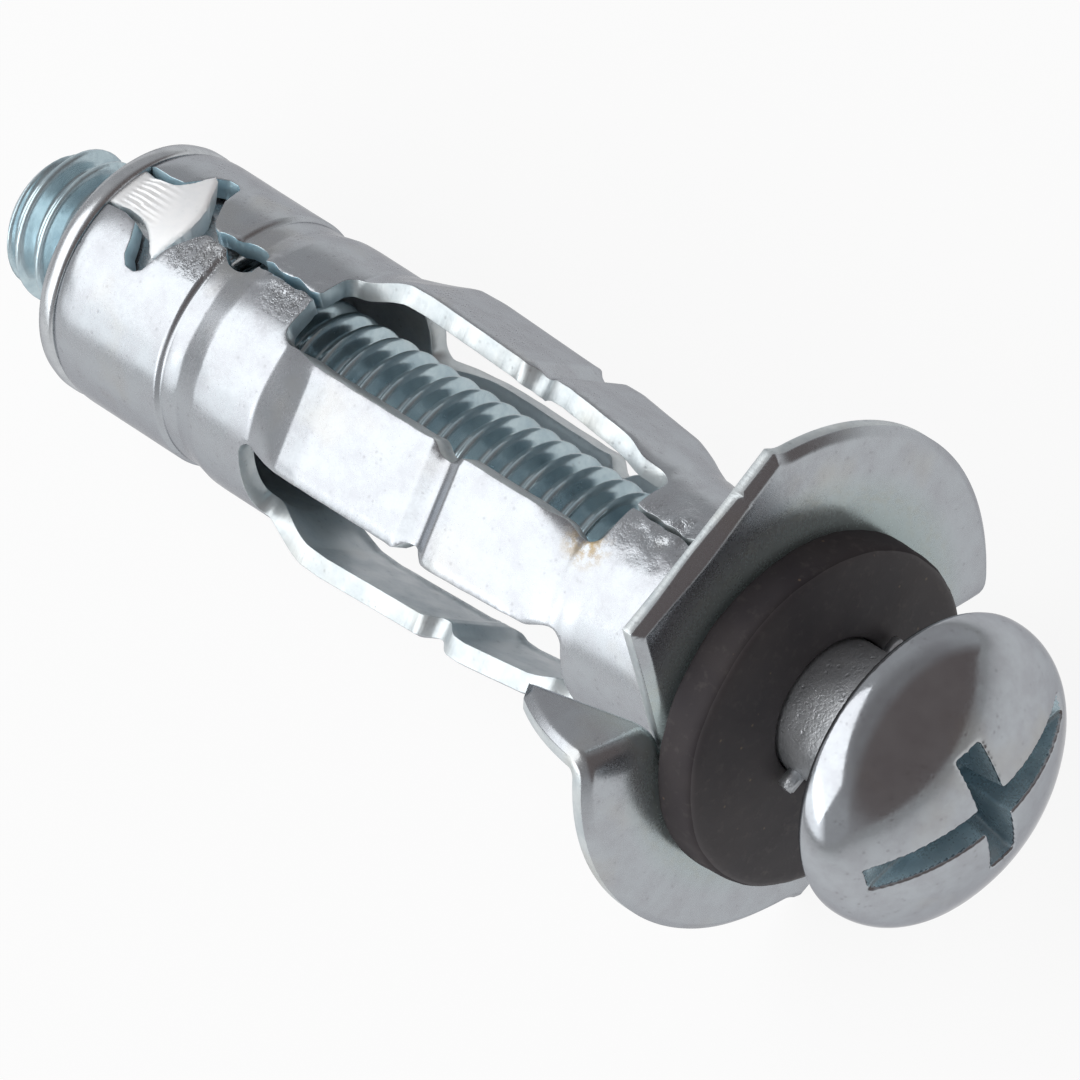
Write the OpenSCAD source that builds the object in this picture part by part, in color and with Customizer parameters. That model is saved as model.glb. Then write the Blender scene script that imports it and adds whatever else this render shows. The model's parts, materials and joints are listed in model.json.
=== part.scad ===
// Hollow wall anchor for thin boards. A pan-head machine screw runs through a sheet-steel sleeve that is
// rolled from one blank: a flange with two bent teeth, a neck, four creased legs, and a barrel that holds
// a captive nut. A fibre washer sits on the plain shank. The anchor lies on the flat of its flange and on
// the rim of its nut. Inside each module Z runs along the screw, towards the head, the front of the flange
// is at z = 0, and +X is the side that lies uppermost.

/* [Screw] */
// Diameter over the thread crests
thread_d = 3.9; // [3.2:0.05:4.4]
// Diameter of the plain shank under the head
shank_d = 3.5; // [3:0.05:3.8]
// Length from under the head to the tip
screw_len = 29.8; // [26:0.1:40]
// How far the plain shank runs on behind the washer
shank_past = 0.05; // [0:0.05:0.4]
// Diameter of the head
head_d = 7.9; // [6.5:0.1:10]
// Height of the head
head_h = 2.6; // [2.2:0.1:3.4]
// Radius of the shoulder between the side of the head and its domed top
shoulder_r = 1.3; // [0.8:0.05:1.6]
// Height of the widest part of the head above its underside
head_wide_h = 0.3; // [0.2:0.05:0.5]
// Width of the slot in the head
slot_w = 0.9; // [0.6:0.05:1.2]
// Depth of the slot below the top of the head
slot_deep = 1.2; // [0.8:0.05:1.5]
// Width of each wing of the cross recess
cross_w = 0.95; // [0.7:0.05:1.2]
// Span of the cross recess at the top of the head
cross_span = 4; // [3:0.1:4.6]
// Depth of the cross recess below the top of the head
cross_deep = 2; // [1.4:0.05:2.1]
// How far each pinched lug stands out from the shank
pinch_out = 0.45; // [0.2:0.05:0.6]
// Width and length of each pinched lug
pinch_w = 0.4; // [0.2:0.05:0.6]
// Turn of the slot in the head from the side
recess_turn = 75; // [0:5:175]

/* [Washer] */
// Diameter of the washer
washer_d = 8.8; // [7:0.1:10.5]
// Thickness of the washer
washer_t = 1.1; // [0.6:0.05:1.6]
// How far the hole of the washer is punched off its centre
washer_off = 0.3; // [0:0.05:0.5]
// Turn of the washer's wide side from the top
washer_turn = 100; // [0:5:355]

/* [Sleeve] */
// Thickness of the sheet
sheet_t = 0.5; // [0.35:0.05:0.6]
// Outer diameter of the barrel
barrel_d = 6.6; // [6.2:0.1:8]
// Length of the barrel in front of the nut, up to the groove
barrel_front = 1.2; // [0.9:0.05:3]
// Length of the ring between the groove and the legs
ring_len = 2.2; // [1.8:0.1:3]
// Depth of the groove round the front of the barrel
groove_deep = 0.18; // [0.05:0.01:0.25]
// Length of the rear leaf of each leg
rear_leaf = 6; // [5:0.1:9]
// Length of the front leaf of each leg
front_leaf = 4.4; // [4:0.1:8]
// How far the crests of the legs stand out beyond the barrel
leg_rise = 0.45; // [0.2:0.05:0.7]
// How far the middle crease dips below the crests
crease_dip = 0.3; // [0.1:0.05:0.4]
// How far the flat of each leg is pressed below the round of the tube
leg_flat = 0.08; // [0.04:0.01:0.12]
// Width of each leg
leg_w = 2.65; // [2:0.05:2.8]
// Turn of the legs from the top
leg_turn = 27; // [0:1:90]
// Radius of the notch at each end of the middle crease
notch_r = 0.42; // [0.2:0.02:0.6]
// Width of the gap at the seam
seam_gap = 0.24; // [0.1:0.02:0.4]
// Turn of the seam from the top
seam_turn = -19; // [-60:1:0]
// Radius of the relief hole on the seam
relief_r = 0.36; // [0.2:0.02:0.5]

/* [Flange] */
// Length of the neck from the front of the flange to the legs
neck_len = 4.8; // [4.2:0.1:6]
// Outer diameter of the neck
neck_d = 6.2; // [5.8:0.1:7.4]
// Diameter of the flange
flange_d = 13; // [12:0.1:16]
// How far each of the two flats is cut into the flange
flat_deep = 0.65; // [0.3:0.05:0.9]
// Radius of the bend from the neck to the flange
root_bend_r = 0.5; // [0.3:0.05:0.8]
// Gap from the bend of the neck to the slit beside each tooth
slit_gap = 0.5; // [0.3:0.05:0.8]
// Turn of the bend line of the first tooth from the top
tooth_turn = 55; // [48:1:64]
// Turn of the slit beside the first tooth, at the flat of the flange
slit_turn = 20; // [14:1:22]
// Inner radius of the bend of each tooth
tooth_bend_r = 0.2; // [0.1:0.05:0.4]
// Radius of the burr at the corner of each flat
burr_r = 0.3; // [0.15:0.05:0.4]

/* [Nut] */
// Thickness of the rim of the nut, behind the barrel
nut_rim_t = 0.65; // [0.4:0.05:1]
// Length of the nut inside the barrel
nut_len = 3.5; // [3:0.1:6]
// Width of the stem of the locking lug
lug_stem_w = 1.25; // [0.8:0.05:1.5]
// Width across the barbs of the locking lug
lug_barb_w = 2.4; // [1.8:0.1:2.8]
// Length of the locking lug from the end of the barrel
lug_len = 2.35; // [2:0.05:2.8]
// Gap beside each barb of the lug, in its window
pocket_gap = 0.65; // [0.2:0.05:0.8]

/* [Fits] */
// Gap from the washer to the underside of the head
head_gap = 2.8; // [1:0.1:4]
// Gap from the flange to the washer
washer_gap = 0.25; // [0.1:0.05:0.5]
// Gap round the thread in the nut
thread_gap = 0.05; // [0.02:0.01:0.1]
// Gap round the shank in the washer
washer_fit = 0.04; // [0.02:0.01:0.1]
// Gap round the body of the nut in the barrel
nut_fit = 0.05; // [0.04:0.01:0.08]
// Gap round the stem of the lug in its window
lug_fit = 0.12; // [0.06:0.01:0.2]

/* [Hidden] */
$fn = 64;
tiny = 0.01;

thread_r = thread_d / 2;
shank_r = shank_d / 2;
head_r = head_d / 2;
barrel_r = barrel_d / 2;
neck_r = neck_d / 2;
flange_r = flange_d / 2;
flat_x = flange_r - flat_deep;
tooth_root_r = neck_r + root_bend_r + slit_gap;
leg_r = barrel_r + leg_rise;

// Stations along the screw, from the flange back to the nut
z_neck = -neck_len;
z_crease = z_neck - front_leaf;
z_ring = z_crease - rear_leaf;
z_groove = z_ring - ring_len;
z_crimp = z_groove - barrel_front + 0.2;
z_barrel = z_groove - barrel_front - nut_len;
z_nut = z_barrel - nut_rim_t;
z_washer = washer_gap + washer_t;
z_head = z_washer + head_gap;
z_tip = z_head - screw_len;

// The slots between the legs have round ends, this much wider than the gap between two legs at the ring
leg_count = 4;
slot_over = 0.07;
slot_end_r = barrel_r * sin(180 / leg_count - asin(leg_w / barrel_d)) + slot_over;
z_slot_rear = z_ring - 0.25;
z_slot_front = z_neck + 0.25;

// The round of the tube runs this share of the way to the first crease of each leg. The roots of the legs
// reach this share of the way back, this far below its surface
root_share = 0.95;
root_reach = 1.08;
root_flat = 0.05;

// The bend of each tooth stops this far short of the rim of the flange. The slit beside it is this wide at
// its root, and the tooth lies this far inside its own slit
rim_step = 0.06;
slit_root = 0.12;
slit_inset = 0.08;

// The barrel narrows this much towards its open end, over the nut, from this far behind the crimp
barrel_taper = 0.02;
taper_start = 0.9;

// The dome of the head is this share of the radius that would just touch its shoulder
dome_share = 0.99;

// The chamfers at the tip of the screw and on the rim of the nut
tip_chamfer = 0.45;
nut_chamfer = 0.2;

// The anchor tips back until the flat of the flange and the rim of the nut both touch the surface
rest_tilt = atan2(flat_x - barrel_r, -sheet_t - (z_nut + nut_chamfer));
axis_height = flat_x * cos(rest_tilt) + sheet_t * sin(rest_tilt);
x_rear = z_tip * cos(rest_tilt) - (thread_r - tip_chamfer) * sin(rest_tilt);
x_front = (z_head + head_h) * cos(rest_tilt);

function unit(v) = v / norm(v);
function along(a, b, share) = a + share * (b - a);
function left_of(a, b) = let (d = unit(b - a)) [-d.y, d.x];

// The normal at point i of an open path, as long as a mitred offset of 1 needs
function mitre(p, i) =
    let (
        before = left_of(p[max(i - 1, 0)], p[max(i, 1)]),
        after = left_of(p[min(i, len(p) - 2)], p[min(i + 1, len(p) - 1)]),
        m = unit(before + after)
    )
    m / (m * before);

// A sheet of even thickness, with the path as its outer surface
module sheet_2d(path, t) {
    last = len(path) - 1;
    polygon([
        for (p = path) p,
        for (i = [last:-1:0]) path[i] + t * mitre(path, i)
    ]);
}

// Where the ring ends and where each leg has left the round of the tube, as radius and station
ring_end = [barrel_r + 0.05, z_ring];
rear_crease = [leg_r - 0.15, z_ring + 1.3];
neck_end = [neck_r + 0.04, z_neck];
front_crease = [neck_r + 0.35, z_neck - 1.3];

// Outer surface from the open end of the barrel to the roots of the legs
function barrel_path() = [
    [barrel_r - barrel_taper, z_barrel],
    [barrel_r, z_crimp - taper_start],
    [barrel_r, z_crimp - 0.1],
    [barrel_r - 0.05, z_crimp],
    [barrel_r - 0.05, z_groove - 0.5],
    [barrel_r - groove_deep, z_groove],
    [barrel_r - 0.04, z_groove + 0.5],
    [barrel_r, z_groove + 0.9],
    [barrel_r, z_ring - 0.3],
    ring_end,
    along(ring_end, rear_crease, root_share)
];

// Outer surface of the neck, from the legs to the bend under the flange
function neck_path() = [
    along(neck_end, front_crease, root_share),
    neck_end,
    [neck_r, z_neck + 0.5],
    [neck_r, -sheet_t - root_bend_r + tiny]
];

// Outer surface of a leg. Its flat is pressed a little below the round of the tube, and its roots are let
// into the ring and the neck
function leg_path(flat, root) = [
    along(rear_crease, ring_end, root_reach) - [root, 0],
    rear_crease - [root, 0],
    [leg_r - flat, z_ring + 2.1],
    [leg_r - 0.15 - flat, z_crease - 0.45],
    [leg_r - crease_dip - flat, z_crease - 0.05],
    [leg_r - crease_dip - flat, z_crease + 0.1],
    [leg_r - 0.12 - flat, z_crease + 0.55],
    [leg_r - 0.1 - flat, z_crease + 0.9],
    front_crease - [root, 0],
    along(front_crease, neck_end, root_reach) - [root, 0]
];

// Everything inside a turned outer surface
module inside(path) {
    rotate_extrude()
        polygon([
            [0, path[0].y],
            for (p = path) p,
            [0, path[len(path) - 1].y]
        ]);
}

// One leg: a flat creased strip, its corners rounded off by the curve of the tube, with a notch at each
// end of its middle crease
module leg() {
    difference() {
        intersection() {
            rotate([90, 0, 0])
                linear_extrude(height = leg_w, center = true)
                    sheet_2d(leg_path(leg_flat, root_flat), sheet_t);
            inside(leg_path(0, root_flat / 2));
        }
        for (side = [-1, 1])
            translate([barrel_r - sheet_t - 0.4, side * (leg_w / 2 + 0.1), z_crease])
                rotate([0, 90, 0])
                    cylinder(r = notch_r, h = 3);
    }
}

// Outline of the slot between two legs, with round ends
module slot_2d() {
    for (z = [z_slot_rear + slot_end_r, z_slot_front - slot_end_r])
        translate([0, z])
            circle(r = slot_end_r);
    translate([-slot_end_r, z_slot_rear + slot_end_r])
        square([2 * slot_end_r, z_slot_front - z_slot_rear - 2 * slot_end_r]);
}

// The T-shaped outline of the locking lug, its stem at the end of the barrel. grow widens the stem, and
// pocket lengthens the barbs
module lug_2d(grow, pocket) {
    stem = lug_stem_w / 2 + grow;
    barb = lug_barb_w / 2 + pocket;
    shoulder = lug_len - 0.95 - grow;
    polygon([
        [-stem, 0],
        [-stem, shoulder],
        [-barb, shoulder + 0.25],
        [-barb + 0.1, shoulder + 0.75 + grow],
        [-stem, lug_len + grow],
        [stem, lug_len + grow],
        [barb - 0.1, shoulder + 0.75 + grow],
        [barb, shoulder + 0.25],
        [stem, shoulder],
        [stem, 0]
    ]);
}

// A drawing of width and station on the unrolled tube, pushed outwards from the axis
module pushed_out(from_r, to_r) {
    translate([from_r, 0, 0])
        rotate([90, 0, 90])
            linear_extrude(height = to_r - from_r)
                children();
}

// What is cut from the tube at the seam: the gap, the relief hole and the window of the lug
module seam_cuts() {
    rotate([0, 0, seam_turn]) {
        translate([0, -seam_gap / 2, z_barrel - 1])
            cube([flange_r, seam_gap, -z_barrel + 1 - sheet_t - root_bend_r]);
        translate([0, 0, z_groove - 0.55])
            rotate([0, 90, 0])
                cylinder(r = relief_r, h = flange_r);
        translate([0, 0, z_barrel - tiny])
            pushed_out(thread_r, flange_r)
                lug_2d(lug_fit, pocket_gap);
    }
}

// The rolled tube: barrel, ring and neck, without its legs
module tube() {
    rotate_extrude()
        sheet_2d(barrel_path(), sheet_t);
    rotate_extrude()
        sheet_2d(neck_path(), sheet_t);
    rotate_extrude()
        intersection() {
            translate([neck_r + root_bend_r, -sheet_t - root_bend_r])
                difference() {
                    circle(r = root_bend_r + sheet_t);
                    circle(r = root_bend_r);
                }
            translate([0, -sheet_t - root_bend_r])
                square([neck_r + root_bend_r, sheet_t + root_bend_r]);
        }
}

// The wedge of the flat blank that is sheared for each tooth, out past the rim. The bend line of the tooth
// is the X axis, and its tip lies towards -Y. inset moves the slit into the tooth
module wedge_2d(inset) {
    turn = slit_turn - tooth_turn;
    root = [tooth_root_r + inset, -slit_root];
    tip = flat_x / cos(slit_turn) * [cos(turn), sin(turn)] + [inset, 0];
    polygon([
        [root.x, 0],
        root,
        along(root, tip, 2),
        [2 * flange_r, 0]
    ]);
}

// Outline of the flange: round, with two flats, a burr at one end of each flat, and both wedges away
module flange_2d() {
    corner = acos(flat_x / flange_r);
    difference() {
        intersection() {
            union() {
                circle(r = flange_r);
                for (turn = [0, 180])
                    rotate(turn - corner)
                        translate([flange_r - 0.05, 0])
                            circle(r = burr_r, $fn = 24);
            }
            square([2 * flat_x, 2 * flange_d], center = true);
        }
        circle(r = neck_r + root_bend_r);
        for (turn = [0, 180])
            rotate(turn + tooth_turn)
                wedge_2d(0);
    }
}

// A tooth: the wedge, round at the rim, bent back by a right angle about its bend line. The slit cuts across
// the bend too, where the sheet stands half way between the flange and the tooth
module tooth() {
    bend_out = tooth_bend_r + sheet_t;
    z_bend = -sheet_t - tooth_bend_r;
    intersection() {
        translate([0, 0, z_bend])
            rotate([90, 0, 90])
                linear_extrude(height = flange_r - rim_step)
                    intersection() {
                        difference() {
                            circle(r = bend_out);
                            circle(r = tooth_bend_r);
                        }
                        translate([-bend_out, 0])
                            square(bend_out);
                    }
        rotate([45, 0, 0])
            linear_extrude(height = 4 * bend_out, center = true)
                wedge_2d(slit_inset);
        linear_extrude(height = 4 * bend_out, center = true)
            wedge_2d(slit_inset);
    }
    intersection() {
        translate([0, -tooth_bend_r, 0])
            rotate([90, 0, 0])
                linear_extrude(height = sheet_t)
                    intersection() {
                        circle(r = flange_r);
                        rotate(-tooth_turn)
                            square([2 * flat_x, 2 * flange_d], center = true);
                        wedge_2d(slit_inset);
                    }
        translate([0, -2 * bend_out, z_bend - flange_r])
            cube([2 * flange_r, 4 * bend_out, flange_r + tiny]);
    }
}

module sleeve() {
    color("silver")
        lay() {
            difference() {
                tube();
                for (i = [0:leg_count - 1])
                    rotate([0, 0, leg_turn + (i + 0.5) * 360 / leg_count])
                        pushed_out(shank_r / 2, flange_r)
                            slot_2d();
                seam_cuts();
            }
            for (i = [0:leg_count - 1])
                rotate([0, 0, leg_turn + i * 360 / leg_count])
                    leg();
            translate([0, 0, -sheet_t])
                linear_extrude(height = sheet_t)
                    flange_2d();
            for (turn = [0, 180])
                rotate([0, 0, turn + tooth_turn])
                    tooth();
        }
}

// A threaded bush with a rim behind the barrel and a lug that locks in the seam
module nut() {
    body_r = barrel_r - sheet_t - nut_fit;
    color("lightsteelblue")
        lay()
            difference() {
                union() {
                    rotate_extrude()
                        polygon([
                            [0, z_nut],
                            [barrel_r - nut_chamfer, z_nut],
                            [barrel_r, z_nut + nut_chamfer],
                            [barrel_r, z_barrel],
                            [body_r, z_barrel],
                            [body_r, z_barrel + nut_len],
                            [0, z_barrel + nut_len]
                        ]);
                    intersection() {
                        rotate([0, 0, seam_turn])
                            translate([0, 0, z_barrel - tiny])
                                pushed_out(thread_r, flange_r)
                                    lug_2d(0, 0);
                        cylinder_between(barrel_r, z_barrel - tiny, 0);
                    }
                }
                cylinder_between(thread_r + thread_gap, z_nut - 1, 0);
            }
}

// A cylinder round the screw's axis, between two stations
module cylinder_between(r, z0, z1) {
    translate([0, 0, z0])
        cylinder(r = r, h = z1 - z0);
}

// A fibre ring, punched a little off its centre
module washer() {
    color("#3a3536")
        lay()
            difference() {
                translate([0, 0, washer_gap])
                    rotate([0, 0, washer_turn])
                        translate([washer_off, 0, 0])
                            cylinder(d = washer_d, h = washer_t);
                cylinder_between(shank_r + washer_fit, 0, z_head);
            }
}

// Slot and cross recess, cut down from the top of the head
module recess() {
    z_top = z_head + head_h;
    bottom_span = cross_span * 0.45;
    translate([-head_d, -slot_w / 2, z_top - slot_deep])
        cube([2 * head_d, slot_w, head_h]);
    for (turn = [0, 90])
        rotate([0, 0, turn])
            rotate([90, 0, 0])
                linear_extrude(height = cross_w, center = true)
                    polygon([
                        [-cross_span / 2, z_top + tiny],
                        [-cross_span / 2, z_top - 0.6],
                        [-bottom_span / 2, z_top - cross_deep],
                        [bottom_span / 2, z_top - cross_deep],
                        [cross_span / 2, z_top - 0.6],
                        [cross_span / 2, z_top + tiny]
                    ]);
}

// Half section of the head: the shoulder, under a shallow dome that meets it almost without an edge
module head_2d() {
    shoulder = [head_r - shoulder_r, head_wide_h];
    rise = head_h - head_wide_h;
    dome_r = dome_share * (shoulder.x ^ 2 + rise ^ 2 - shoulder_r ^ 2) / (2 * (rise - shoulder_r));
    dome = [0, head_h - dome_r];
    intersection() {
        union() {
            translate(shoulder)
                circle(r = shoulder_r);
            polygon([
                [0, 0],
                [shoulder.x, 0],
                shoulder,
                shoulder + head_r * unit(shoulder - dome),
                [0, 2 * head_h]
            ]);
        }
        translate(dome)
            circle(r = dome_r, $fn = 160);
        square([head_r, head_h]);
    }
}

module screw() {
    z_plain = washer_gap - shank_past;
    color("lightsteelblue")
        lay()
            difference() {
                union() {
                    translate([0, 0, z_head])
                        rotate_extrude()
                            head_2d();
                    rotate_extrude()
                        polygon([
                            [0, z_tip],
                            [thread_r - tip_chamfer, z_tip],
                            [thread_r, z_tip + tip_chamfer],
                            [thread_r, z_plain - 0.3],
                            [shank_r, z_plain],
                            [shank_r, z_head + tiny],
                            [0, z_head + tiny]
                        ]);
                    translate([-pinch_w / 2, -shank_r - pinch_out, z_washer + 0.1])
                        cube([pinch_w, 2 * (shank_r + pinch_out), pinch_w]);
                }
                rotate([0, 0, recess_turn])
                    recess();
            }
}

// From the screw's own axis to the anchor as it lies
module lay() {
    translate([-(x_rear + x_front) / 2, 0, axis_height])
        rotate([0, 90 - rest_tilt, 0])
            rotate([0, 0, 180])
                children();
}

sleeve();
nut();
washer();
screw();
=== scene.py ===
"""A metal anchor for hollow walls: a screw with a fibre washer in a folded sheet sleeve with a captive nut."""

import json
from math import acos, atan2, cos, degrees, exp, hypot, pi, radians, sin, sqrt

import bmesh
import bpy
import numpy as np
from mathutils import Euler, Matrix, Vector, geometry, noise
from mathutils.kdtree import KDTree


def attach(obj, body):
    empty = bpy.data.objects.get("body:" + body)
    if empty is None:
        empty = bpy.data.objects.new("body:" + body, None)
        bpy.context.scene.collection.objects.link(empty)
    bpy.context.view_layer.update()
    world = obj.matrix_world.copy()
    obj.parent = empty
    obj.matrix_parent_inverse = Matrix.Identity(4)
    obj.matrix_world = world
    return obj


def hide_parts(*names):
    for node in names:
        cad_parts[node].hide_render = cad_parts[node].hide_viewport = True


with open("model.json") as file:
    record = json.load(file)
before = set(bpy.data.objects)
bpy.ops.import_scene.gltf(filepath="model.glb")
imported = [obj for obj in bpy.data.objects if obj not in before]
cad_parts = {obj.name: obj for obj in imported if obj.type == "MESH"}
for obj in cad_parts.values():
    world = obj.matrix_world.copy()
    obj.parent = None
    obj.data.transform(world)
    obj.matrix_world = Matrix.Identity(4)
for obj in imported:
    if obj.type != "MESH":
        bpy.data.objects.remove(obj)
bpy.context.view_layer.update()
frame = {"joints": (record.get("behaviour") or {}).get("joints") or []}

# ------------------------------------------------------------------
# How the anchor lies. All its parts are turned round the screw's own axis, so each is built in millimetres
# along that axis, with the front of the flange at 0 and the head on the + side, and then laid down with it.
# ------------------------------------------------------------------
millimetre = 0.001
turn_joint = next(joint for joint in frame["joints"] if joint["name"] == "screw_turn")
along = Vector(turn_joint["axis"]).normalized()
flange_front = Vector(turn_joint["pos_m"])
uppermost = Vector((-along.z, 0, along.x))
axes = Matrix((uppermost, along.cross(uppermost), along)).transposed().to_4x4()
lay = Matrix.Translation(flange_front) @ axes @ Matrix.Scale(millimetre, 4)

# ------------------------------------------------------------------
# Camera: from above the head's side and nearly half a metre off, with a long lens. The screw points to the
# lower right of the picture.
# ------------------------------------------------------------------
camera_distance = 0.450
aim_back, aim_up = 0.005887, 0.003326
screw_slope = radians(32.5)
towards_camera = lay.to_3x3() @ Vector((0.7967, 0.1405, 0.5878))
towards_camera.normalize()
screw_across = (along - along.dot(towards_camera) * towards_camera).normalized()
picture_right = cos(screw_slope) * screw_across + sin(screw_slope) * towards_camera.cross(screw_across)
picture_up = towards_camera.cross(picture_right)
camera_place = flange_front - aim_back * picture_right + aim_up * picture_up + camera_distance * towards_camera
camera_axes = Matrix((picture_right, picture_up, towards_camera)).transposed().to_4x4()


def in_scene(name, data):
    made = bpy.data.objects.new(name, data)
    bpy.context.collection.objects.link(made)
    return made


camera = in_scene("camera", bpy.data.cameras.new("camera"))
camera.data.sensor_width = 36
camera.data.lens = 648
camera.data.clip_start = 0.01
camera.matrix_world = Matrix.Translation(camera_place) @ camera_axes
bpy.context.scene.camera = camera

# ------------------------------------------------------------------
# Sleeve: one blank of zinc-plated steel sheet, rolled to a tube round the screw. Its rear end is the barrel,
# its middle is cut into four legs that are creased to fold outwards, and its front is flared to a flange
# with two teeth bent back.
# ------------------------------------------------------------------
# The blank is drawn flat, as a turn round the axis in degrees from the seam and a station along the sheet.
# Then every point of its two faces is put where the folding puts it.
sheet = 0.5
barrel_r, neck_r = 3.3, 3.1
degree = pi * barrel_r / 180
seam_turn = -19.0
z_barrel, z_crimp, z_groove, z_ring, z_crease, z_neck = -22.1, -18.4, -17.4, -15.2, -9.2, -4.8
leg_turns = [46.0, 136.0, 226.0, 316.0]
slot_rear, slot_front, slot_corner = z_ring - 0.25, z_neck + 0.2, 0.4
root_bend = 0.5
root_r = neck_r + root_bend
z_bend = -sheet - root_bend
s_flange = z_bend + root_bend * pi / 2
flange_r, flat_x = 6.5, 5.83
rim_s = s_flange + flange_r - root_r
dish_depth = 0.13
edge_roll, widest_roll = 0.2, 0.29

# How far apart the points of its mesh are: along an edge, along the seam, and between rows, in mm, and round
# the rim and across the turn, in degrees. Each is closer where the sheet is sharply bent.
edge_step, seam_step, row_step, crease_step = 0.08, 0.1, 0.13, 0.04
rim_step, turn_step, tooth_step = 0.9, 2.1, 0.7

# A tooth: its bend line and its sheared slit in degrees from a flat of the flange, the slit's inner end, and
# its outer end as a distance along the bend line and off it.
tooth_turn, slit_turn, tooth_bend = 55.0, 20.0, 0.2
slit_in, slit_gap, kerf, slit_steps = 4.1, 0.12, 0.08, 40
tip_angle, tip_reach = radians(tooth_turn - slit_turn), flat_x / cos(radians(slit_turn))
tip_along, tip_off = tip_reach * cos(tip_angle), tip_reach * sin(tip_angle)
slit_steep = (tip_along - slit_in) / (tip_off - slit_gap)

# Outer radius of the tube and of the legs, and half the width of a leg, each at its stations.
tube_line = [
    (z_barrel, 3.2), (z_barrel + 0.12, 3.27), (z_barrel + 0.5, 3.3), (z_crimp - 0.05, 3.3),
    (z_crimp + 0.05, 3.2), (z_crimp + 0.15, 3.21), (z_groove - 0.42, 3.19), (z_groove + 0.28, 3.34),
    (z_groove + 0.6, 3.35), (z_ring - 0.1, 3.34), (z_ring, 3.34), (z_ring + 1.0, 3.42),
    (z_neck - 1.0, 3.3), (z_neck, 3.15), (z_neck + 0.5, neck_r), (z_bend, neck_r),
]
leg_line = [
    (z_ring - 0.05, 3.34), (z_ring + 0.06, 3.33), (z_ring + 1.5, 3.69), (z_ring + 2.2, 3.72),
    (z_crease - 0.5, 3.6), (z_crease - 0.05, 3.4), (z_crease + 0.12, 3.4), (z_crease + 0.5, 3.62),
    (z_crease + 0.95, 3.63), (z_neck - 1.5, 3.42), (z_neck - 0.25, 3.2), (z_neck, 3.12), (z_neck + 0.5, neck_r),
]
leg_half_line = [
    (z_ring - 0.6, 1.32), (z_ring + 1.5, 1.38), (z_crease - 0.75, 1.38), (z_crease - 0.5, 1.42),
    (z_crease - 0.2, 1.12), (z_crease + 0.12, 1.08), (z_crease + 0.42, 1.36), (z_crease + 0.7, 1.4),
    (z_neck - 1.2, 1.34), (z_neck - 0.75, 1.38), (z_neck - 0.25, 1.2), (z_neck + 0.3, 1.2),
]


def smooth_step(a, b, x):
    x = min(1.0, max(0.0, (x - a) / (b - a)))
    return x * x * (3 - 2 * x)


def bump(x, centre, width):
    return exp(-(((x - centre) / width) ** 2))


def polar(r, angle, z=0.0):
    return Vector((r * cos(angle), r * sin(angle), z))


def rows(lowest, highest, step):
    """Stations from one end to the other, both included, about a step apart."""
    count = max(1, round(abs(highest - lowest) / step))
    return [lowest + (highest - lowest) * k / count for k in range(count + 1)]


def divided(line, step):
    """The corners of a line with points about a step apart between them, without its last corner."""
    fine = []
    for (a0, b0), (a1, b1) in zip(line, line[1:]):
        n = max(1, round(hypot(a1 - a0, b1 - b0) / step))
        fine += [(a0 + (a1 - a0) * k / n, b0 + (b1 - b0) * k / n) for k in range(n)]
    return fine


def profile(line, x, soft):
    """The height of a line at x, its corners rounded over a length of twice soft."""
    total = 0.0
    for k in (-1.0, -0.6, -0.2, 0.2, 0.6, 1.0):
        at = x + k * soft
        if at <= line[0][0]:
            total += line[0][1]
        elif at >= line[-1][0]:
            total += line[-1][1]
        else:
            for (x0, y0), (x1, y1) in zip(line, line[1:]):
                if at <= x1:
                    total += y0 + (y1 - y0) * (at - x0) / (x1 - x0)
                    break
    return total / 6


def leg_half(s, edge):
    """Half the width of a leg, in degrees: notched at its crease, and a little ragged, each edge its own way."""
    return profile(leg_half_line, s, 0.07) / degree + 0.25 * noise.noise((s * 2.2, edge * 7.3, 4.0))


def slot_share(s):
    """How far the corners of a slot are rounded in, in degrees."""
    off = 0.0
    for end in (abs(s - slot_rear), abs(s - slot_front)):
        if end < slot_corner:
            off += slot_corner - sqrt(max(0.0, slot_corner**2 - (slot_corner - end) ** 2))
    return off / degree


def slot_side(leg, side):
    """The edge of a leg along a slot. side is 1 for its edge at the larger turn and -1 for the other."""
    end = [slot_corner * (1 - cos(radians(a))) for a in range(0, 90, 12)]
    stations = [slot_rear + e for e in end] + rows(slot_rear + slot_corner, slot_front - slot_corner, 0.09)
    stations += [slot_front - e for e in reversed(end)]
    return [(leg_turns[leg] + side * (leg_half(s, leg * 2 + side) + slot_share(s)), s) for s in stations]


def seam_half():
    """Half the seam's gap in mm: the window of the lug, the gap, the relief hole, and the gap again."""
    line = [
        (z_barrel, 0.78), (z_barrel + 0.7, 0.74), (z_barrel + 1.1, 0.82), (z_barrel + 1.3, 1.2),
        (z_barrel + 1.42, 1.6), (z_barrel + 1.62, 1.82), (z_barrel + 1.9, 1.84), (z_barrel + 2.1, 1.7),
        (z_barrel + 2.22, 1.35), (z_barrel + 2.32, 1.0), (z_barrel + 2.5, 0.7), (z_barrel + 2.75, 0.3),
        (z_barrel + 2.95, 0.14),
    ]
    hole, long, wide = z_groove - 0.5, 0.52, 0.36
    line += [(s, 0.13 + 0.04 * sin(5 * s)) for s in rows(z_barrel + 3.1, hole - long - 0.02, seam_step)]
    line += [(hole - long * cos(radians(a)), 0.1 + wide * sin(radians(a))) for a in range(15, 180, 15)]
    line += [(s, 0.1 + 0.04 * sin(6.5 * s)) for s in rows(hole + long + 0.03, slot_rear - 0.02, seam_step)]
    return line


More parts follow.
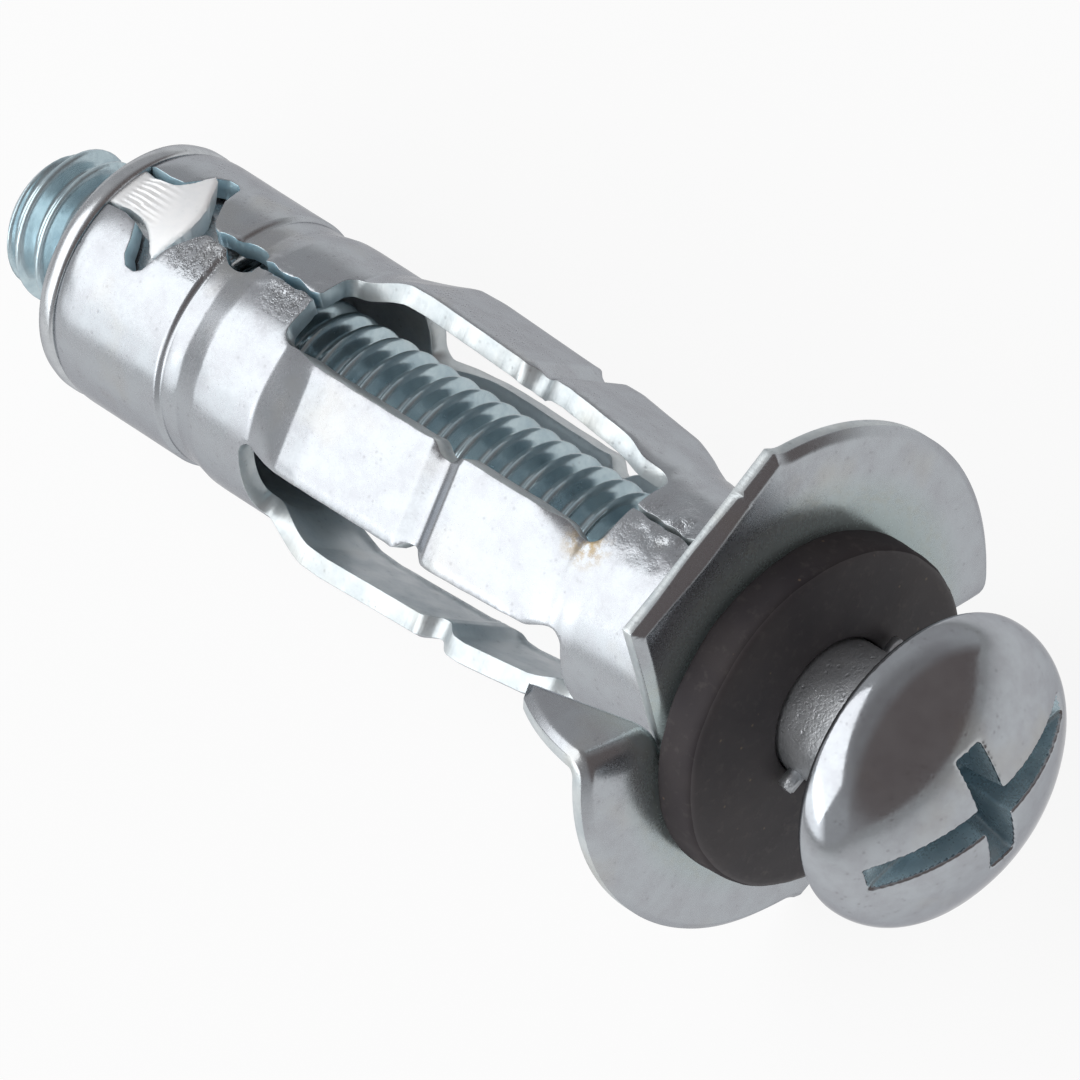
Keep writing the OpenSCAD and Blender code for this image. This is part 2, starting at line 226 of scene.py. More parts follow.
def seam_edge(side):
    """One edge of the blank from its rear end to the flange. side is 1 for the edge at 0 and -1 for the other."""
    leg, start = (0, 0.0) if side == 1 else (3, 360.0)
    slot = slot_side(leg, -side)
    rear_half, front_half = abs(slot[0][0] - start), abs(slot[-1][0] - start)
    points = [(start + side * h / degree, s) for s, h in divided(seam_half(), edge_step)]
    points += [(start + side * x, slot_rear) for x in rows(0.1 / degree, rear_half, 2.0)[:-1]]
    points += slot
    points += [(start + side * x, slot_front) for x in rows(0.08 / degree, front_half, 2.0)[::-1][1:]]
    neck = rows(slot_front + 0.1, z_bend - 0.25, seam_step)
    return points + [(start + side * (0.08 + 0.03 * sin(9 * s)) / degree, s) for s in neck]


def plan(r, turn):
    """A point of the flat flange, from its radius and its turn from the top, as turn from the seam and station."""
    return ((turn - seam_turn) % 360.0, s_flange + r - root_r)


def rim_radius(turn):
    """The flange's edge: nearly round, with two flats and a burr at one end of each."""
    r = flange_r - 0.02 + 0.02 * noise.noise((cos(radians(turn)) * 2.5, sin(radians(turn)) * 2.5, 9.0))
    corner = degrees(acos(flat_x / flange_r))
    for burr in (-corner, 180 - corner):
        away = (turn - burr + 180) % 360 - 180
        r += 0.22 * bump(away, -1.5, 2.6)
    c = abs(cos(radians(turn)))
    return min(r, flat_x / c) if c > 0.1 else r


def rim_arc(turns):
    return [plan(rim_radius(t), t) for t in turns]


def tooth_points(base):
    """The sheared slit and the edge of one tooth, out to the rim, for the tooth beside the flat at base."""
    bend_turn = base + tooth_turn

    def at(p, q):
        return plan(hypot(p, q), bend_turn - degrees(atan2(q, p)))

    shares = [k / slit_steps for k in range(slit_steps + 1)]
    slit = [(slit_in + t * (tip_along - slit_in), slit_gap + t * (tip_off - slit_gap)) for t in shares]
    flange_side = [at(p, q) for p, q in reversed(slit)]
    root = [at(slit_in, 0.05), at(slit_in + kerf / 2, -0.03), at(slit_in + kerf, 0.05)]
    tooth_side = [at(p + kerf, q) for p, q in slit[:-1]]
    tip_turn = bend_turn - degrees(atan2(tip_off, tip_along + kerf))
    return flange_side + root + tooth_side + rim_arc(rows(tip_turn, bend_turn, rim_step))


def rim_edge():
    """The whole edge of the flange from one side of the seam to the other, round both teeth."""
    points = []
    for base in (0.0, 180.0):
        start = seam_turn if base == 0.0 else tooth_turn + rim_step
        points += rim_arc(rows(start, base + slit_turn, rim_step)[1:-1]) + tooth_points(base)
    return points + rim_arc(rows(180 + tooth_turn + rim_step, 360 + seam_turn, rim_step)[:-1])


def on_plan(turn, s):
    """Where a point of the blank lies while the flange is still flat, seen along the axis."""
    point = Vector((root_r + s - s_flange, 0, 0))
    point.rotate(Euler((0, 0, radians(seam_turn + turn))))
    return point


def dent(turn, s):
    """How far the sheet stands off its true surface: slow waves, the crumpled end of the seam, and knocks."""
    near = min(turn, 360 - turn)
    wave = 0.012 * noise.noise((cos(radians(turn)) * 1.6, sin(radians(turn)) * 1.6, s * 0.5))
    on_neck = bump(s, -3.1, 1.1) * bump(near, 0, 16.0)
    crumple = 0.15 * noise.noise((turn * 0.11, s * 2.1, 2.0))
    crumple = crumple + 0.06 * noise.noise((turn * 0.3, s * 4.5, 8.0)) - 0.06
    on_ridge = (smooth_step(-19.4, -18.9, s) - smooth_step(z_ring - 0.3, z_ring, s)) * bump(near, 2.0, 5.0)
    knocks = 0.09 * noise.noise((turn * 0.35, s * 3.1, 5.0)) + 0.025 + 0.05 * bump(near, 3.0, 2.5)
    return wave + on_neck * crumple + on_ridge * knocks


def roll(inset, wide):
    """How far the shears drag the front face of the flange down, this far in from its cut edge."""
    return 0.5 * (wide - inset + sqrt((wide - inset) ** 2 + 0.0016)) * smooth_step(wide + 0.3, wide, inset)


def tube_radius(s, on_leg, soft):
    soft = 0.02 if abs(s - z_crimp) < 0.25 else soft
    return profile(tube_line, s, soft) * (1 - on_leg) + profile(leg_line, s, soft) * on_leg


def fold_tube(turn, s):
    """The barrel, the legs and the neck: round, but for the legs, which are pressed flat across their width."""
    leg = min(leg_turns, key=lambda centre: abs(centre - turn))
    leg_angle, off = radians(seam_turn + turn) - radians(turn - leg), radians(turn - leg)
    on_leg = smooth_step(z_ring - 0.1, z_ring, s) * (1 - smooth_step(z_neck - 0.1, z_neck + 0.1, s))
    flat = smooth_step(z_ring, z_ring + 1.4, s) * (1 - smooth_step(z_neck - 1.5, z_neck - 0.1, s))
    r = tube_radius(s, on_leg, 0.04) + dent(turn, s)
    slope = (tube_radius(s + 0.2, on_leg, 0.1) - tube_radius(s - 0.2, on_leg, 0.1)) / 0.4
    across = off * barrel_r
    droop = 0.07 * smooth_step(1.0, 1.42, abs(across)) ** 2
    points = []
    for depth in (0.0, sheet * sqrt(1 + slope * slope)):
        round_x, round_y = (r - depth) * cos(off), (r - depth) * sin(off)
        x = round_x + (r - depth - droop - round_x) * flat
        y = round_y + (across - round_y) * flat
        c, d = cos(leg_angle), sin(leg_angle)
        points.append(Vector((x * c - y * d, x * d + y * c, s)))
    return points


def fold_root(turn, s):
    """The round bend from the neck to the flange."""
    angle, bend = radians(seam_turn + turn), (s - z_bend) / root_bend
    return [polar(root_r - r * cos(bend), angle, z_bend + r * sin(bend)) for r in (root_bend, root_bend + sheet)]


def fold_flange(turn, s):
    """The flange, dished back a little and rolled over at its cut edge, with its two teeth bent back."""
    angle, out = radians(seam_turn + turn), root_r + s - s_flange
    x, y = out * cos(angle), out * sin(angle)
    on_flat = bump(y, -0.3, 1.3) * smooth_step(flat_x - 0.9, flat_x - 0.6, abs(x))
    drop = roll(rim_tree.find((x, y, 0))[2], edge_roll + (widest_roll - edge_roll) * on_flat)
    dish = -dish_depth * smooth_step(root_r + 0.8, flange_r + 0.6, out)
    for base in (0.0, 180.0):
        bend_angle = radians(base + tooth_turn)
        c, d = cos(bend_angle), sin(bend_angle)
        p, q = out * cos(angle - bend_angle), -out * sin(angle - bend_angle)
        if q > 1e-6 and p > slit_in + 0.03 + max(0.0, q - slit_gap) * slit_steep:
            points = []
            for r in (tooth_bend, tooth_bend + sheet - drop):
                if q < tooth_bend + sheet:
                    bend = q / (tooth_bend + sheet) * pi / 2
                    w, z = r * sin(bend), -sheet - tooth_bend + r * cos(bend)
                else:
                    w, z = r, -q
                points.append(Vector((p * c + w * d, p * d - w * c, z + dish * smooth_step(1.4, 0.2, q))))
            return points
    buckle = 0.03 * noise.noise((x * 0.35, y * 0.35, 1.0)) * smooth_step(root_r, root_r + 1.5, out)
    return [Vector((x, y, -sheet + dish)), Vector((x, y, min(0.0, dish + buckle) - drop))]


def fold(turn, s):
    """Where a point of the blank ends up, on the outer face of the tube and on its inner face. These two are
    the back and the front of the flange."""
    return (fold_tube if s <= z_bend else fold_root if s < s_flange else fold_flange)(turn, s)


# The outline of the blank and its three inner slots. The fourth slot lies on the seam.
seam_rows = rows(z_bend, plan(rim_radius(seam_turn), seam_turn)[1], 0.09)
outer_loop = seam_edge(1) + [(0.0, s) for s in seam_rows] + rim_edge()
outer_loop += [(360.0, s) for s in reversed(seam_rows)] + seam_edge(-1)[::-1]
rear_rows = rows(outer_loop[0][0], outer_loop[-1][0], 2.0)
outer_loop += [(t, z_barrel) for t in reversed(rear_rows[1:-1])]
loops = [outer_loop]
for leg in range(3):
    right, left = slot_side(leg, 1), slot_side(leg + 1, -1)
    front = [(t, slot_front) for t in rows(right[-1][0], left[-1][0], 2.0)[1:-1]]
    back = [(t, slot_rear) for t in rows(right[0][0], left[0][0], 2.0)[1:-1]]
    loops.append(right + front + left[::-1] + back[::-1])
outline = [Vector((t * degree, s)) for loop in loops for t, s in loop]
outline_edges = []
for loop in loops:
    first = len(outline_edges)
    outline_edges += [(first + k, first + (k + 1) % len(loop)) for k in range(len(loop))]

# The cut edge of the flange, in plan, with lines of points just inside it, where the sheet rolls over.
edge_spots = rim_edge()
rim_plan = [on_plan(t, s) for t, s in edge_spots + edge_spots[:2]]
rim_tree = KDTree(len(rim_plan))
for index, point in enumerate(rim_plan):
    rim_tree.insert(point, index)
rim_tree.balance()
filling = []
for before, point, after in zip(rim_plan, rim_plan[1:], rim_plan[2:]):
    inwards = (after - before).cross(Vector((0, 0, 1))).normalized()
    if (after - before).length < 0.4:
        for inset in (0.02, 0.07, 0.12, 0.16, 0.2, 0.24, 0.28, 0.33, 0.4):
            near = point - inwards * inset
            if rim_tree.find(near)[2] > 0.9 * inset:
                turn = degrees(atan2(near.y, near.x)) - seam_turn
                filling.append(Vector((turn % 360 * degree, s_flange + near.length - root_r)))

# Points between the outlines, in staggered rows that lie closer at the creases and at the bends of the teeth.
edge_tree = KDTree(len(outline))
for index, point in enumerate(outline):
    edge_tree.insert((point.x, point.y, 0), index)
edge_tree.balance()
creases = [
    z_crimp, z_groove - 0.42, z_groove + 0.28, z_ring, z_ring + 1.5,
    z_crease - 0.5, z_crease - 0.05, z_crease + 0.12, z_crease + 0.5, z_neck - 0.3,
]
edge_clearance, roll_clearance = 0.07, 0.45
station, odd = z_barrel + edge_clearance, False
while station < rim_s:
    by_crease = min(abs(station - c) for c in creases) < row_step
    t = 1.0 if odd and not by_crease else 0.0
    while t < 360:
        clear = edge_tree.find((t * degree, station, 0))[2] > edge_clearance
        if clear and (station < s_flange + 0.3 or rim_tree.find(on_plan(t, station))[2] > roll_clearance):
            filling.append(Vector((t * degree, station)))
        near_tooth = station > s_flange and (t + seam_turn - tooth_turn) % 180 > 162
        t += tooth_step if near_tooth else turn_step
    station += crease_step if by_crease else row_step
    odd = not odd
blank_points, _, triangles = geometry.delaunay_2d_cdt(outline + filling, outline_edges, [], 1, 1e-6)[:3]

# Triangles inside a slot are dropped. An upright ray from a triangle's middle crosses a slot's edge oddly often.
flat_points = [(v.x / degree, v.y) for v in blank_points]
middles = np.array([np.mean([flat_points[k] for k in tri], axis=0) for tri in triangles])
in_slot = np.zeros(len(middles), bool)
for loop in loops[1:]:
    for (t0, s0), (t1, s1) in zip(loop, loop[1:] + loop[:1]):
        if s0 != s1:
            beside = (middles[:, 1] > min(s0, s1)) & (middles[:, 1] <= max(s0, s1))
            in_slot ^= beside & (middles[:, 0] < t0 + (middles[:, 1] - s0) * (t1 - t0) / (s1 - s0))
kept = [tri for tri, hole in zip(triangles, in_slot) if not hole]

# Both faces of the sheet are folded, and the two edges of the blank are joined where they meet on the flange.
place, corner_of = {}, {}
outer_points, inner_points = [], []
for number in sorted({k for tri in kept for k in tri}):
    outside, inside = fold(*flat_points[number])
    key = (round(outside.x, 4), round(outside.y, 4), round(outside.z, 4), round(inside.z, 3))
    if key not in place:
        place[key] = len(outer_points)
        outer_points.append(outside)
        inner_points.append(inside)
    corner_of[number] = place[key]
count = len(outer_points)
faces, face_spots, face_finish = [], [], []
sides = {}
for tri in kept:
    ends = [corner_of[k] for k in tri]
    if len(set(ends)) < 3:
        continue
    faces += [ends, [k + count for k in reversed(ends)]]
    face_spots += [list(tri), list(tri)[::-1]]
    face_finish += [0, 2 if flat_points[tri[-1]][1] < z_bend else 0]
    for a, b in zip(tri, list(tri[1:]) + [tri[0]]):
        sides[(corner_of[a], corner_of[b])] = (a, b)
face_side = [0, 1] * (len(faces) // 2)
for (a, b), (spot_a, spot_b) in sides.items():
    if (b, a) not in sides:
        faces.append([b, a, a + count, b + count])
        face_spots.append([spot_b, spot_a, spot_a, spot_b])
        face_finish.append(1)
        face_side.append(0)

# The map gives each point its place on the flat blank in mm. On the inner face of the tube, which is the front
# of the flange, it is shifted to the side.
inner_shift = 100.0
sleeve_mesh = bpy.data.meshes.new("sleeve_sheet")
sleeve_mesh.from_pydata([lay @ p for p in outer_points + inner_points], [], faces)
blank_map = sleeve_mesh.uv_layers.new(name="blank")
for polygon, spots, side, finish_number in zip(sleeve_mesh.polygons, face_spots, face_side, face_finish):
    polygon.use_smooth = True
    polygon.material_index = finish_number
    for loop_index, k in zip(polygon.loop_indices, spots):
        blank_map.data[loop_index].uv = (flat_points[k][0] * degree + side * inner_shift, flat_points[k][1])


# The sleeve's finish is drawn with nodes, made by these few functions, which the later pieces use too.
def new_group(kind, name, inputs, outputs):
    tree = bpy.data.node_groups.new(name, kind)
    for socket, socket_kind, value in inputs:
        made = tree.interface.new_socket(socket, in_out="INPUT", socket_type=socket_kind)
        if value is not None:
            made.default_value = value
    for socket, socket_kind in outputs:
        tree.interface.new_socket(socket, in_out="OUTPUT", socket_type=socket_kind)
    return tree, tree.nodes.new("NodeGroupInput").outputs, tree.nodes.new("NodeGroupOutput").inputs


def add(tree, kind, inputs=None, **settings):
    """A new node with its settings. An input takes a value, or a link where it is given a socket."""
    node = tree.nodes.new(kind)
    for key, value in settings.items():
        setattr(node, key, value)
    for socket, value in (inputs or {}).items():
        if isinstance(value, bpy.types.NodeSocket):
            tree.links.new(value, node.inputs[socket])
        else:
            node.inputs[socket].default_value = value
    return node


def mix_colour(tree, factor, a, b):
    return add(tree, "ShaderNodeMix", {0: factor, 6: a, 7: b}, data_type="RGBA").outputs[2]


def between(tree, value, low, high, to_low=0.0, to_high=1.0, **settings):
    """A value that goes from one level to another while the given one goes from low to high."""
    inputs = {0: value, 1: low, 2: high, 3: to_low, 4: to_high}
    return add(tree, "ShaderNodeMapRange", inputs, **settings).outputs[0]


def maths(tree, operation, a, b=0.0):
    return add(tree, "ShaderNodeMath", {0: a, 1: b}, operation=operation).outputs[0]


def times(tree, a, b):
    return maths(tree, "MULTIPLY", a, b)


def plus(tree, a, b):
    return maths(tree, "ADD", a, b)


def minus(tree, a, b):
    return maths(tree, "SUBTRACT", a, b)


def distance_to(tree, value, centre):
    return maths(tree, "ABSOLUTE", minus(tree, value, centre))


def grain(tree, place, scale, detail, rough=0.5):
    """Noise over a place: its scale per unit of the place, its detail and its roughness."""
    inputs = {"Vector": place, "Scale": scale, "Detail": detail, "Roughness": rough}
    return add(tree, "ShaderNodeTexNoise", inputs).outputs[0]


# What the zinc plate shows on all the steel: slow clouds from the bath, stains, and fine pits and grains.
plate, given, plate_out = new_group(
    "ShaderNodeTree", "zinc plate",
    [("Place", "NodeSocketVector", None), ("Clean", "NodeSocketColor", (0.6, 0.61, 0.64, 1)),
     ("Dull", "NodeSocketColor", (0.5, 0.51, 0.55, 1)), ("Stain", "NodeSocketColor", (0.6, 0.57, 0.47, 1)),
     ("Gloss", "NodeSocketFloat", 0.3), ("Pits", "NodeSocketFloat", 0.5)],
    [("Colour", "NodeSocketColor"), ("Roughness", "NodeSocketFloat"), ("Height", "NodeSocketFloat")],
)
clouds = grain(plate, given["Place"], 1300.0, 5.0, 0.65)
stains = grain(plate, given["Place"], 420.0, 3.0)
grains = grain(plate, given["Place"], 14000.0, 3.0, 0.6)
specks = add(plate, "ShaderNodeTexVoronoi", {"Vector": given["Place"], "Scale": 5200.0}).outputs[0]
speck_field = grain(plate, given["Place"], 2600.0, 2.0)
pit = times(plate, between(plate, specks, 0.30, 0.12), between(plate, speck_field, 0.52, 0.62))
pit = times(plate, pit, given["Pits"])
tone = mix_colour(plate, between(plate, clouds, 0.40, 0.62), given["Clean"], given["Dull"])
tone = mix_colour(plate, between(plate, stains, 0.58, 0.74, 0.0, 0.4), tone, given["Stain"])
tone = mix_colour(plate, times(plate, pit, 0.55), tone, (0.2, 0.2, 0.21, 1))
rough = plus(plate, given["Gloss"], between(plate, clouds, 0.35, 0.7, -0.03, 0.06))
rough = plus(plate, rough, between(plate, grains, 0.3, 0.7, -0.04, 0.04))
height = minus(plate, times(plate, grains, 0.5), times(plate, pit, 1.2))
height = plus(plate, height, times(plate, clouds, 0.25))
for result, socket in ((tone, "Colour"), (rough, "Roughness"), (height, "Height")):
    plate.links.new(result, plate_out[socket])


def new_finish(name):
    material = bpy.data.materials.new(name)
    material.use_nodes = True
    return material, material.node_tree, material.node_tree.nodes["Principled BSDF"]


def finish(name, clean, dull, stain, gloss, pits, relief=0.0018, metallic=0.94):
    """A plated finish, its relief in mm. Gives the tree and its main nodes too, for what a piece adds to them."""
    material, tree, shader = new_finish(name)
    group = add(tree, "ShaderNodeGroup", {
        "Place": add(tree, "ShaderNodeTexCoord").outputs["Object"], "Clean": (*clean, 1), "Dull": (*dull, 1),
        "Stain": (*stain, 1), "Gloss": gloss, "Pits": pits}, node_tree=plate)
    relief_in = {"Strength": 1.0, "Distance": relief * millimetre, "Height": group.outputs["Height"]}
    bump_node = add(tree, "ShaderNodeBump", relief_in)
    shader.inputs["Metallic"].default_value = metallic
    shader.inputs["Specular Tint"].default_value = (0.6, 0.6, 0.62, 1)
    tree.links.new(group.outputs["Colour"], shader.inputs["Base Color"])
    tree.links.new(group.outputs["Roughness"], shader.inputs["Roughness"])
    tree.links.new(bump_node.outputs[0], shader.inputs["Normal"])
    return material, tree, shader, group, bump_node


def on_blank(tree):
    """The place on the flat blank, its two parts, and how far it is from the seam."""
    blank = add(tree, "ShaderNodeUVMap", uv_map="blank").outputs[0]
    across, station_at = add(tree, "ShaderNodeSeparateXYZ", {0: blank}).outputs[:2]
    return blank, across, station_at, maths(tree, "MINIMUM", across, minus(tree, 360 * degree, across))


# The sheet: clean zinc, scraped beside the seam and crumpled on the neck, with rust at a corner of one leg, and
# tarnish where the washer sat on the front of the flange. Round the washer the front is painted teal and
# less metallic, a painted reflection of the washer.
sheet_finish, tree, shader, group, bump_node = finish(
    "zinc_sheet", (0.435, 0.46, 0.485), (0.41, 0.425, 0.45), (0.45, 0.435, 0.39), 0.25, 0.5)
blank, across, station_at, from_seam = on_blank(tree)
scraped = 0.0
for middle, far, near, seam_far, seam_near in ((-19.0, 0.75, 0.45, 1.35, 0.9), (-16.0, 0.8, 0.4, 1.0, 0.6)):
    along_it = between(tree, distance_to(tree, station_at, middle), far, near)
    patch = times(tree, between(tree, across, seam_far, seam_near), along_it)
    scraped = maths(tree, "MAXIMUM", scraped, patch)
on_neck = times(tree, between(tree, from_seam, 1.6, 0.4), between(tree, station_at, z_neck + 0.1, z_neck + 0.5))
on_neck = times(tree, on_neck, between(tree, station_at, z_bend, z_bend - 0.5))
scraped = maths(tree, "MAXIMUM", scraped, times(tree, on_neck, 0.3))
scraped = times(tree, scraped, between(tree, grain(tree, blank, 6.0, 3.0, 0.75), 0.45, 0.62))
rust_corner = ((leg_turns[0] - 20) * degree, z_neck - 0.05, 0)
corner_off = add(tree, "ShaderNodeVectorMath", {0: blank, 1: rust_corner}, operation="DISTANCE").outputs["Value"]
rust_grain = grain(tree, blank, 3.5, 4.0, 0.7)
rusty = times(tree, between(tree, corner_off, 0.75, 0.1), between(tree, rust_grain, 0.42, 0.58))
edge_off = distance_to(tree, station_at, s_flange + 4.55 - root_r)
tarnish = times(tree, between(tree, edge_off, 0.7, 0.1, 0.0, 0.5), between(tree, rust_grain, 0.45, 0.65))
# A ring of the flange's front round the washer is painted teal and less metallic: a painted reflection.
washer_reflection_painted = between(tree, station_at, s_flange + 5.5 - root_r, s_flange + 4.2 - root_r)
washer_reflection_painted = times(tree, washer_reflection_painted, between(tree, station_at, s_flange - 0.6, s_flange))
washer_reflection_painted = times(tree, washer_reflection_painted, maths(tree, "GREATER_THAN", across, inner_shift / 2))
colour = mix_colour(tree, times(tree, scraped, 0.5), group.outputs["Colour"], (0.30, 0.31, 0.32, 1))
colour = mix_colour(tree, maths(tree, "MAXIMUM", rusty, tarnish), colour, (0.40, 0.31, 0.18, 1))
colour = mix_colour(tree, washer_reflection_painted, colour, (0.52, 0.62, 0.62, 1))
dulled = maths(tree, "MAXIMUM", rusty, times(tree, washer_reflection_painted, 0.9))
scratched = plus(tree, group.outputs["Height"], times(tree, scraped, -14.0))
tree.links.new(colour, shader.inputs["Base Color"])
tree.links.new(between(tree, dulled, 0.0, 1.0, 0.94, 0.35), shader.inputs["Metallic"])
tree.links.new(scratched, bump_node.inputs["Height"])

# The cut edges: pale and torn, with a painted bluish highlight along the seam. The inside of the tube: matt,
# and painted pale for the light that bounces into it.
edge_finish, tree, shader, group, bump_node = finish(
    "sheared_edge", (0.62, 0.66, 0.67), (0.52, 0.57, 0.59), (0.50, 0.48, 0.42), 0.34, 0.5, 0.004, 0.65)
blank, _, station_at, from_seam = on_blank(tree)
# Along the seam the cut edges are painted bluish and paler: a painted highlight.
seam_highlight_painted = times(tree, between(tree, from_seam, 2.4, 2.0), between(tree, station_at, z_ring - 0.1, z_ring - 0.4))
colour = mix_colour(tree, seam_highlight_painted, group.outputs["Colour"], (0.48, 0.66, 0.74, 1))
torn = plus(tree, times(tree, grain(tree, blank, 9.0, 4.0, 0.7), 2.0), group.outputs["Height"])
tree.links.new(colour, shader.inputs["Base Color"])
tree.links.new(torn, bump_node.inputs["Height"])
# The tube's inside takes a much paler copy of the sheet's zinc: painted light for the light that bounces inside.
inside_finish_painted_bright = finish(
    "zinc_inside_painted_bright", (0.80, 0.83, 0.85), (0.70, 0.74, 0.77), (0.64, 0.62, 0.56), 0.36, 0.4, metallic=0.6)[0]


def settled(piece):
    """The mesh of a piece with its modifiers applied."""
    bpy.context.view_layer.update()
    return bpy.data.meshes.new_from_object(piece.evaluated_get(bpy.context.evaluated_depsgraph_get()))


for material in (sheet_finish, edge_finish, inside_finish_painted_bright):
    sleeve_mesh.materials.append(material)
sleeve = in_scene("sleeve_sheet", sleeve_mesh)
edge_round = sleeve.modifiers.new("edges", "BEVEL")
edge_round.width = 0.04 * millimetre
edge_round.segments = 2
edge_round.limit_method = "ANGLE"
edge_round.angle_limit = radians(55)
sleeve_mesh = settled(sleeve)
sleeve.modifiers.clear()
sleeve.data = sleeve_mesh
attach(sleeve, "anchor")
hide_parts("sleeve")

# ------------------------------------------------------------------
# Nut: a bush turned from steel and zinc plated, held in the barrel by the crimp in front of it. Its rim
# closes the rear end of the barrel.
# ------------------------------------------------------------------
thread_r, bore_r = 1.95, 2.0
z_nut, z_nut_front = z_barrel - 0.65, z_barrel + 3.5
nut_half = [
    (bore_r, z_nut + 0.3), (bore_r + 0.2, z_nut + 0.05), (bore_r + 0.3, z_nut), (2.95, z_nut),
    (3.13, z_nut + 0.05), (3.24, z_nut + 0.16), (3.29, z_nut + 0.34), (3.29, z_barrel - 0.12),
    (3.24, z_barrel - 0.03), (2.72, z_barrel - 0.02), (2.72, z_nut_front - 0.1), (2.6, z_nut_front),
    (bore_r + 0.25, z_nut_front), (bore_r, z_nut_front - 0.25),
]


def turned(half, sides, closed=True, spacing=0.2):
    """A mesh turned from a half section of (radius, station), its long edges divided to the spacing."""
    fine = divided(half + half[:1], spacing) if closed else divided(half, spacing) + [half[-1]]
    work = bmesh.new()
    rings = []
    for r, z in fine:
        if r < 1e-6:
            rings.append([work.verts.new((0, 0, z))] * sides)
        else:
            rings.append([work.verts.new(polar(r, 2 * pi * k / sides, z)) for k in range(sides)])
    for a, b in zip(rings, rings[1:] + rings[:1] if closed else rings[1:]):
        for k in range(sides):
            corners = list(dict.fromkeys((a[k], a[(k + 1) % sides], b[(k + 1) % sides], b[k])))
            if len(corners) > 2:
                work.faces.new(corners)
    bmesh.ops.recalc_face_normals(work, faces=work.faces)
    for face in work.faces:
        face.smooth = True
    return work


def new_object(work, name):
    """A finished bmesh as an object in the scene."""
    mesh = bpy.data.meshes.new(name)
    work.to_mesh(mesh)
    work.free()
    return in_scene(name, mesh)


def keep(work, name, body, node, slot, *materials):
    """Lays a finished mesh down with the anchor and hands it to the frame."""
    bmesh.ops.transform(work, matrix=lay, verts=work.verts)
    piece = new_object(work, name)
    for material in materials:
        piece.data.materials.append(material)
    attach(piece, body)
    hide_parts(node)


nut_finish = finish("zinc_nut", (0.56, 0.58, 0.60), (0.48, 0.50, 0.52), (0.44, 0.42, 0.36), 0.24, 0.4)[0]
keep(turned(nut_half, 128), "nut_bush", "anchor", "nut", "nut_steel", nut_finish)

# ------------------------------------------------------------------
# Lug of the nut: a tongue shaped like an anchor, raised from the same steel. It lies in the window of the
# seam, so that the nut can't turn, and its top carries fine ridges from the knurl. Its finish is painted near
# white: a painted highlight for the light that the knurl scatters.
# ------------------------------------------------------------------
lug_top_r, lug_depth = 3.24, 0.62
ridge_gap, ridge_high = 0.16, 0.05
lug_outline = [
    (-0.64, -0.1), (-0.6, 0.3), (-0.53, 0.7), (-0.56, 1.0), (-0.68, 1.22), (-0.88, 1.42), (-1.12, 1.56),
    (-1.27, 1.68), (-1.2, 1.84), (-1.0, 1.97), (-0.8, 2.08), (-0.62, 2.2), (-0.45, 2.28), (-0.2, 2.33),
    (0.2, 2.32), (0.5, 2.24), (0.8, 2.14), (1.1, 2.06), (1.32, 1.92), (1.2, 1.76), (0.98, 1.6), (0.8, 1.4),
    (0.66, 1.18), (0.58, 0.95), (0.57, 0.6), (0.63, 0.3), (0.67, -0.1),
]
lug_edge = [Vector(point) for point in divided(lug_outline + lug_outline[:1], 0.08)]


def inside_lug(point):
    """How far a point of the drawing is from the lug's edge."""
    return min((point - edge).length for edge in lug_edge)


# Points between its edges, close enough together across it to carry the ridges.
lug_filling = [Vector((-1.3 + 0.04 * i, -0.05 + 0.08 * k)) for i in range(66) for k in range(31)]
lug_filling = [point for point in lug_filling if inside_lug(point) > 0.035]
lug_loop = [(k, (k + 1) % len(lug_edge)) for k in range(len(lug_edge))]
lug_points, _, triangles = geometry.delaunay_2d_cdt(lug_edge + lug_filling, lug_loop, [], 1, 1e-6)[:3]

# The top is rounded over at its edge, sunk at its root, and tilted so that it stands out on one side.
work = bmesh.new()
top, bottom = [], []
for depth, layer in ((0.0, top), (lug_depth, bottom)):
    for point in lug_points:
        x, y = point
        r = lug_top_r - depth
        if depth == 0:
            r -= 0.05 * (1 - min(1.0, inside_lug(point) / 0.12)) ** 2
        r = r - 0.09 * smooth_step(0.7, 0.2, y) + 0.3 * x**2 * 0.5 / barrel_r - 0.22 * x * smooth_step(0.2, 1.2, y)
        if depth == 0:
            ridge = (x / ridge_gap + 0.4 * noise.noise((x, y * 0.5, 0))) % 1.0 - 0.5
            r += ridge_high * ridge * smooth_step(0.15, 0.3, y) * smooth_step(1.6, 0.8, y)
        layer.append(work.verts.new(polar(r, radians(seam_turn) + x / barrel_r, z_barrel + y)))
lug_sides = set()
for tri in triangles:
    work.faces.new([top[k] for k in tri])
    work.faces.new([bottom[k] for k in reversed(tri)])
    lug_sides.update(zip(tri, list(tri[1:]) + [tri[0]]))
for a, b in lug_sides:
    if (b, a) not in lug_sides:
        work.faces.new([top[b], top[a], bottom[a], bottom[b]])
bmesh.ops.delete(work, geom=[v for v in work.verts if not v.link_faces], context="VERTS")
for face in work.faces:
    face.smooth = True
for edge in work.edges:
    edge.smooth = len(edge.link_faces) != 2 or edge.calc_face_angle() <= radians(50)
# The lug's finish is nearly white and hardly metallic: a painted highlight.
lug_finish_painted_bright = finish(
    "zinc_lug_painted_highlight", (0.97, 0.98, 0.98), (0.90, 0.92, 0.93), (0.8, 0.8, 0.76), 0.36, 0.15, 0.0015, 0.1)[0]
keep(work, "nut_lug", "anchor", "nut", "nut_steel", lug_finish_painted_bright)

